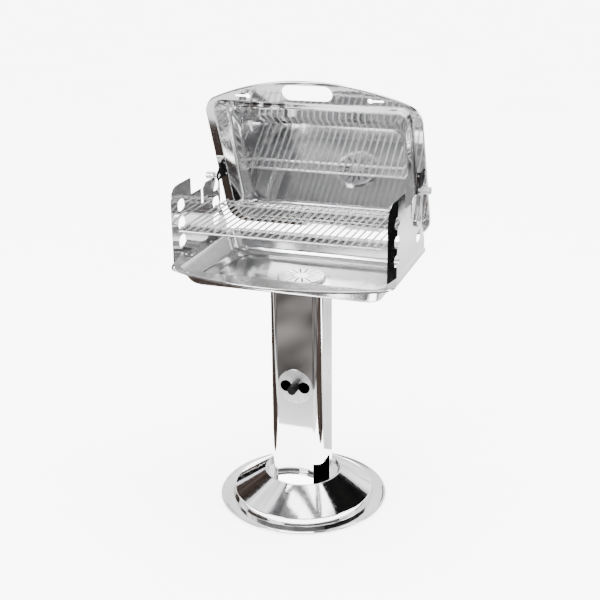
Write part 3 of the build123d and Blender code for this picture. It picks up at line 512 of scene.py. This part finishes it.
def rim_loop(inset):
    """The tray's outer edge moved inwards: arch, two corner arcs, sides and rear. A front
    corner's centre lies where its arc touches both the arch and the side."""
    arch_y = FRONT + ARCH
    corner_x = HALF_WIDTH - FRONT_CORNER
    corner_y = arch_y - math.sqrt((ARCH - FRONT_CORNER) ** 2 - corner_x ** 2)
    meet = math.atan2(corner_y - arch_y, corner_x)
    half, rear = HALF_WIDTH - inset, REAR - inset
    front_r, rear_r = FRONT_CORNER - inset, REAR_CORNER - inset
    rear_x, rear_y = HALF_WIDTH - REAR_CORNER, REAR - REAR_CORNER
    return np.concatenate([
        arc_points((0, arch_y), ARCH - inset, -math.pi - meet, meet, ARCH_STEPS),
        arc_points((corner_x, corner_y), front_r, meet, 0, CORNER_STEPS),
        line_points((half, corner_y), (half, rear_y), SIDE_STEPS),
        arc_points((rear_x, rear_y), rear_r, 0, math.pi / 2, CORNER_STEPS),
        line_points((rear_x, rear), (-rear_x, rear), REAR_STEPS),
        arc_points((-rear_x, rear_y), rear_r, math.pi / 2, math.pi, CORNER_STEPS),
        line_points((-half, rear_y), (-half, corner_y), SIDE_STEPS),
        arc_points((-corner_x, corner_y), front_r, -math.pi, -math.pi - meet, CORNER_STEPS),
    ])


def wall_loop(run, growth=0.0):
    """The wall cut level: a rectangle with round corners that shrinks as the run goes from 0
    to 1, and grows by the growth on all sides."""
    half = OPEN_HALF - RUN_SIDE * run + growth
    front = OPEN_FRONT + RUN_FRONT * run - growth
    rear = OPEN_REAR - RUN_REAR * run + growth
    corner = OPEN_CORNER + growth
    x, y0, y1 = half - corner, front + corner, rear - corner
    return np.concatenate([
        line_points((-x, front), (x, front), WALL_WIDE_STEPS),
        arc_points((x, y0), corner, -math.pi / 2, 0, WALL_CORNER_STEPS),
        line_points((half, y0), (half, y1), WALL_SIDE_STEPS),
        arc_points((x, y1), corner, 0, math.pi / 2, WALL_CORNER_STEPS),
        line_points((x, rear), (-x, rear), WALL_WIDE_STEPS),
        arc_points((-x, y1), corner, math.pi / 2, math.pi, WALL_CORNER_STEPS),
        line_points((-half, y1), (-half, y0), WALL_SIDE_STEPS),
        arc_points((-x, y0), corner, math.pi, 1.5 * math.pi, WALL_CORNER_STEPS),
    ])


print("rim points:", len(rim_loop(0.0)), "wall points:", len(wall_loop(0.0)))

# %% [markdown]
# The flange and the floor are flat plates with holes. A Boolean modifier could cut the
# holes, but it leaves long thin faces that a mirror shows. Here the plate is filled with
# triangles between its outline and its holes, so each edge is exactly the drawn one.


# %% Plates and holes
SLOT_END_STEPS = 24
FILL_TOLERANCE = 1e-6


def slot_loop(x, y, length, width):
    """Slot with round ends along X, centred at x, y. A round hole has length equal to width,
    and then the points where its two halves meet are left out once."""
    reach, radius = (length - width) / 2, width / 2
    right_end = arc_points((x + reach, y), radius, -math.pi / 2, math.pi / 2, SLOT_END_STEPS)
    left_end = arc_points((x - reach, y), radius, math.pi / 2, 1.5 * math.pi, SLOT_END_STEPS)
    top, bottom = [(x + reach, y + radius)], [(x - reach, y - radius)]
    if reach == 0:
        return np.concatenate([right_end, top, left_end[1:]])
    return np.concatenate([right_end, top, left_end, bottom])


def inside(points, loop):
    """Whether points lie inside a closed loop: an odd number of edges crossed by a ray to +X."""
    x, y = points[:, :1], points[:, 1:]
    ax, ay = loop[:, 0], loop[:, 1]
    bx, by = np.roll(ax, -1), np.roll(ay, -1)
    spans = (ay > y) != (by > y)
    safe = np.where(by == ay, 1.0, by - ay)
    return (spans & (x < ax + (y - ay) / safe * (bx - ax))).sum(1) % 2 == 1


def loop_edges(first, size):
    """The edges of a closed loop of points, numbered from the first."""
    here = first + np.arange(size)
    return np.column_stack([here, np.roll(here, -1)])


def raised(loop, height):
    """A flat loop lifted to a height."""
    return np.column_stack([loop, np.full(len(loop), height)])


def plate(outer, holes, height):
    """Flat plate at a height: of all triangles between the loops' points, those whose middle is
    inside the outline and outside every hole."""
    loops = [outer, *holes]
    firsts = np.cumsum([0] + [len(loop) for loop in loops])
    edges = np.concatenate([loop_edges(first, len(loop)) for first, loop in zip(firsts, loops)])
    filled = geometry.delaunay_2d_cdt(np.concatenate(loops).tolist(), edges.tolist(), [], 0, FILL_TOLERANCE)
    points, triangles = np.array([tuple(p) for p in filled[0]]), np.array(filled[2])
    middles = points[triangles].mean(1)
    keep = inside(middles, outer)
    for hole in holes:
        keep &= ~inside(middles, hole)
    return raised(points, height), triangles[keep]


def hole_wall(loop, top, bottom):
    """The cut edge of a hole through a plate."""
    return ring_grid([raised(loop, top), raised(loop, bottom)])


print("points round a hole:", len(slot_loop(0.0, 0.0, 10.0, 10.0)))

# %% [markdown]
# The wall's profile runs from the flange, round a small bend, steeply down and through a
# wide soft cove into the floor, as deep drawing leaves it. The outer skin is the same
# profile, one sheet thickness out and down. A Solidify modifier could give the thickness
# too, but the flange's holes and the lip need the second skin in its exact place.


# %% Tray surface
SHEET, LIP, LIP_BEND, LIP_FOLD = 1.0, 5.0, 2.2, 1.6
# The lip's section as (distance in from the rim, height): over the bend, down, and up inside.
LIP_LINE = [(LIP_BEND, 0), (1.3, -0.15), (0.6, -0.6), (0.15, -1.3), (0, -LIP_BEND), (0, -LIP),
            (LIP_FOLD / 2, -LIP), (LIP_FOLD, -LIP), (LIP_FOLD, -1.5 * SHEET), (LIP_BEND, -SHEET)]
# The wall's section as shares of (its run inwards, its depth), with the rounding of each corner.
WALL_LINE = [(-0.07, 0), (0, 0), (0.43, 0.80), (0.98, 1), (1.3, 1)]
WALL_ROUNDS, WALL_ROUND_STEPS = [0.06, 0.5, 0.9], 12


def sunk(part, front_depth, rear_depth, below):
    """A part made one unit deep, stretched downwards: the depth changes evenly from the
    floor's front to its rear."""
    points, faces = part
    floor_front, floor_rear = OPEN_FRONT + RUN_FRONT, OPEN_REAR - RUN_REAR
    share = (points[:, 1] - floor_front) / (floor_rear - floor_front)
    depth = front_depth + share * (rear_depth - front_depth)
    return np.column_stack([points[:, :2], points[:, 2] * depth - below]), faces


def tray_parts(flange_holes, floor_holes, front_depth, rear_depth):
    """All surfaces of one tray, mouth up, with the flange's top at height 0. Holes in the floor
    are for a tray of even depth."""
    profile = rounded_path(WALL_LINE, WALL_ROUNDS, WALL_ROUND_STEPS)
    first, last = profile[0, 0], profile[-1, 0]
    flange = rim_loop(LIP_BEND)
    parts = [ring_grid([raised(rim_loop(inset), z) for inset, z in LIP_LINE])]
    for growth in (0.0, SHEET):
        parts.append(plate(flange, [wall_loop(first, growth), *flange_holes], -growth))
    for growth in (0.0, SHEET):
        wall = ring_grid([raised(wall_loop(run, growth), -fall) for run, fall in profile])
        bottom = plate(wall_loop(last, growth), floor_holes, -1.0)
        parts += [sunk(part, front_depth, rear_depth, growth) for part in (wall, bottom)]
    parts += [hole_wall(hole, 0.0, -SHEET) for hole in flange_holes]
    parts += [hole_wall(hole, -front_depth, -front_depth - SHEET) for hole in floor_holes]
    return parts


def placed(parts, move):
    """The parts with every point moved by a function of the point array."""
    return [(move(points), faces) for points, faces in parts]


print("wall profile points:", len(rounded_path(WALL_LINE, WALL_ROUNDS, WALL_ROUND_STEPS)))

# %% [markdown]
# ## Fire pan
#
# The pan sits on the column. Its floor has the chimney hole under the fire grate, and
# its front flange two small slots. The press leaves its skin a little softer than the
# polished sheets', so it blurs what it mirrors.

# %% Fire pan
SETBACK, RIM_Z, PAN_DEPTH, CHIMNEY = 37.0, 601.0, 53.0, 70.0
PAN_SLOT_X, PAN_SLOT_IN, PAN_SLOT_LENGTH, PAN_SLOT_WIDTH = 64.0, 30.0, 12.0, 4.0


def pan_place(points):
    """Moved back over the column and up to the rim's height."""
    return points + np.array([0, SETBACK, RIM_Z])


pan_slots = [slot_loop(x, FRONT + PAN_SLOT_IN, PAN_SLOT_LENGTH, PAN_SLOT_WIDTH)
             for x in (-PAN_SLOT_X, PAN_SLOT_X)]
chimney = slot_loop(0.0, -SETBACK, CHIMNEY, CHIMNEY)
pan_parts = tray_parts(pan_slots, [chimney], PAN_DEPTH, PAN_DEPTH)
pan = new_piece("fire_pan_pressed", placed(pan_parts, pan_place), DRAWN)
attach(pan, "frame")
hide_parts("fire_pan")

# %% [markdown]
# ## Lid
#
# The lid has the pan's outline but is shallower, 48 mm at the hand hole and 34 mm at the
# hinge. It is turned over and swung up on its pivot, with a hand hole and two keyholes
# cut in the front flange, which is now its top edge. The swing is worked into the points,
# because the piece itself stays unturned at the origin for the joint to move it.

# %% Lid
PIVOT = np.array([0.0, 62.4, 682.0])
LID_RIM_Z, LID_TURN = 775.3, math.radians(-67.5)
LID_FRONT_DEPTH, LID_REAR_DEPTH = 48.0, 34.0
HAND_HOLE_IN, HAND_HOLE_LENGTH, HAND_HOLE_WIDTH = 28.5, 116.0, 38.0
KEY_IN, KEY_X, KEY_END_X, KEY_RADIUS, KEY_SLOT_RADIUS = 41.0, 142.0, 172.0, 6.0, 2.75
KEY_ROUND_STEPS, KEY_END_STEPS = 28, 12
# The slot's end arc runs on by this angle, so that its last point comes close to the slot's side.
KEY_END_MORE = 0.2


def keyhole_loop(side):
    """Round hole that runs out into a narrow slot towards the lid's side. The round part opens
    at the angle whose sine is the slot's radius over its own."""
    y = FRONT + KEY_IN
    open_at = math.asin(KEY_SLOT_RADIUS / KEY_RADIUS)
    big = arc_points((KEY_X, y), KEY_RADIUS, open_at, 2 * math.pi - open_at, KEY_ROUND_STEPS)
    corner = [(KEY_X + KEY_RADIUS * math.cos(open_at), y - KEY_SLOT_RADIUS)]
    small = arc_points((KEY_END_X - KEY_SLOT_RADIUS, y), KEY_SLOT_RADIUS,
                       -math.pi / 2, math.pi / 2 + KEY_END_MORE, KEY_END_STEPS)
    loop = np.concatenate([big, corner, small])
    return loop if side > 0 else loop[::-1] * np.array([-1, 1])


def lid_place(points):
    """Turned mouth down over the pan, then swung open about the pivot."""
    shut = points * np.array([-1, 1, -1]) + np.array([0, SETBACK, LID_RIM_Z]) - PIVOT
    c, s = math.cos(LID_TURN), math.sin(LID_TURN)
    y, z = shut[:, 1], shut[:, 2]
    return np.column_stack([shut[:, 0], c * y - s * z, s * y + c * z]) + PIVOT


hand_hole = slot_loop(0.0, FRONT + HAND_HOLE_IN, HAND_HOLE_LENGTH, HAND_HOLE_WIDTH)
lid_holes = [hand_hole, keyhole_loop(1), keyhole_loop(-1)]
lid_parts = tray_parts(lid_holes, [], LID_FRONT_DEPTH, LID_REAR_DEPTH)
lid = new_piece("lid_pressed", placed(lid_parts, lid_place), POLISHED)
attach(lid, "lid")
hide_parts("lid")

# %% [markdown]
# ## Base
#
# The base is spun from one disc: a well for the column, a straight cone, a steep step, a
# flat ring and a raised hem. A Screw modifier could turn a drawn profile too, but numpy
# gives both skins at once. The sheet's middle line is drawn once. Its two skins lie half
# a sheet to either side, and turning the closed profile about the vertical gives the form.
# Four studs stand in the well, inside the column.


# %% Base
BASE_SHEET, SKIN_ROUND_STEPS = 1.0, 8
WELL_RADIUS, WELL_Z, CONE_TOP_Z = 86.0, 57.0, 70.0
STEP_TOP, STEP_FOOT = (164.5, 20.0), (168.0, 2.6)
RING_END, HEM_START, HEM_END, HEM_Z = 192.0, 195.0, 199.5, 4.0
BASE_LINE = [(0, WELL_Z), (WELL_RADIUS, WELL_Z), (WELL_RADIUS, CONE_TOP_Z), STEP_TOP, STEP_FOOT,
             (RING_END, STEP_FOOT[1]), (HEM_START, HEM_Z), (HEM_END, HEM_Z), (HEM_END, 0)]
BASE_ROUNDS = np.array([4.0, 4.0, 2.5, 2.5, 1.5, 1.5, 1.6])
STUD_X, STUD_Y, STUD_RADIUS, STUD_FOOT_Z, STUD_TOP_Z, STUD_STEPS = 22.0, 41.0, 2.0, 56.5, 63.5, 24


def skin(corners, rounds, distance):
    """The line shifted to its left by the distance. A corner between lines with left normals
    m and n moves by (m + n) / (1 + m . n), and the rounding of a bend to the right grows."""
    corners = np.array(corners, float)
    along = np.diff(corners, axis=0)
    along /= np.linalg.norm(along, axis=1)[:, None]
    normal = np.column_stack([-along[:, 1], along[:, 0]])
    joint = (normal[:-1] + normal[1:]) / (1 + (normal[:-1] * normal[1:]).sum(1))[:, None]
    shift = np.concatenate([normal[:1], joint, normal[-1:]])
    bend = np.sign(along[1:, 0] * along[:-1, 1] - along[1:, 1] * along[:-1, 0])
    return rounded_path(corners + distance * shift, rounds + distance * bend, SKIN_ROUND_STEPS)


def spun(profile, count=192, x=0.0, y=0.0):
    """A profile of radius r and height z from axis to axis, turned about the upright axis at
    x, y: (x + r cos a, y + r sin a, z) for every angle a."""
    radius, height = np.asarray(profile, float).T[:, :, None]
    angles = np.linspace(0, 2 * math.pi, count, endpoint=False)
    turned = np.broadcast_arrays(x + radius * np.cos(angles), y + radius * np.sin(angles), height)
    return ring_grid(np.stack(turned, axis=-1))


base_skins = np.concatenate([skin(BASE_LINE, BASE_ROUNDS, BASE_SHEET / 2),
                             skin(BASE_LINE, BASE_ROUNDS, -BASE_SHEET / 2)[::-1]])
stud = [(0, STUD_FOOT_Z), (STUD_RADIUS, STUD_FOOT_Z), (STUD_RADIUS, STUD_TOP_Z), (0, STUD_TOP_Z)]
studs = [spun(stud, STUD_STEPS, x, y) for x in (-STUD_X, STUD_X) for y in (-STUD_Y, STUD_Y)]
base = new_piece("base_spun", [spun(base_skins), *studs], SPUN)
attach(base, "frame")
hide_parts("base_cone")

# %% [markdown]
# ## Pieces kept from the CAD model
#
# Flat cut sheet, wire and fasteners are already the right shape. Each gets the finish
# of its metal: bright plating for the grate, the thumb nuts and the lid's arms, a duller
# zinc look for screws and nuts, dark moulded plastic for the damper's knob and the lugs.

# %% Finishes of the kept pieces
REMADE = ("lid", "fire_pan", "base_cone")
kept = {
    COLUMN: ["column_front_shell", "column_rear_shell"],
    POLISHED: ["left_windshield", "right_windshield", "base_floor"],
    SATIN: ["damper_disc"],
    CHROME: ["grate_bars", "grate_cross_wires", "left_thumb_nut", "right_thumb_nut",
             "left_lid_arm", "right_lid_arm", "lid_spacers"],
    DARK: ["damper_knob", "left_lid_lug", "right_lid_lug"],
}
finish_of = {node: look for look, nodes in kept.items() for node in nodes}
for name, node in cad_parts.items():
    if name in REMADE:
        continue
    node.data.materials.clear()
    node.data.materials.append(finish_of.get(name, BRIGHT))
print("kept nodes:", len(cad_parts) - len(REMADE))
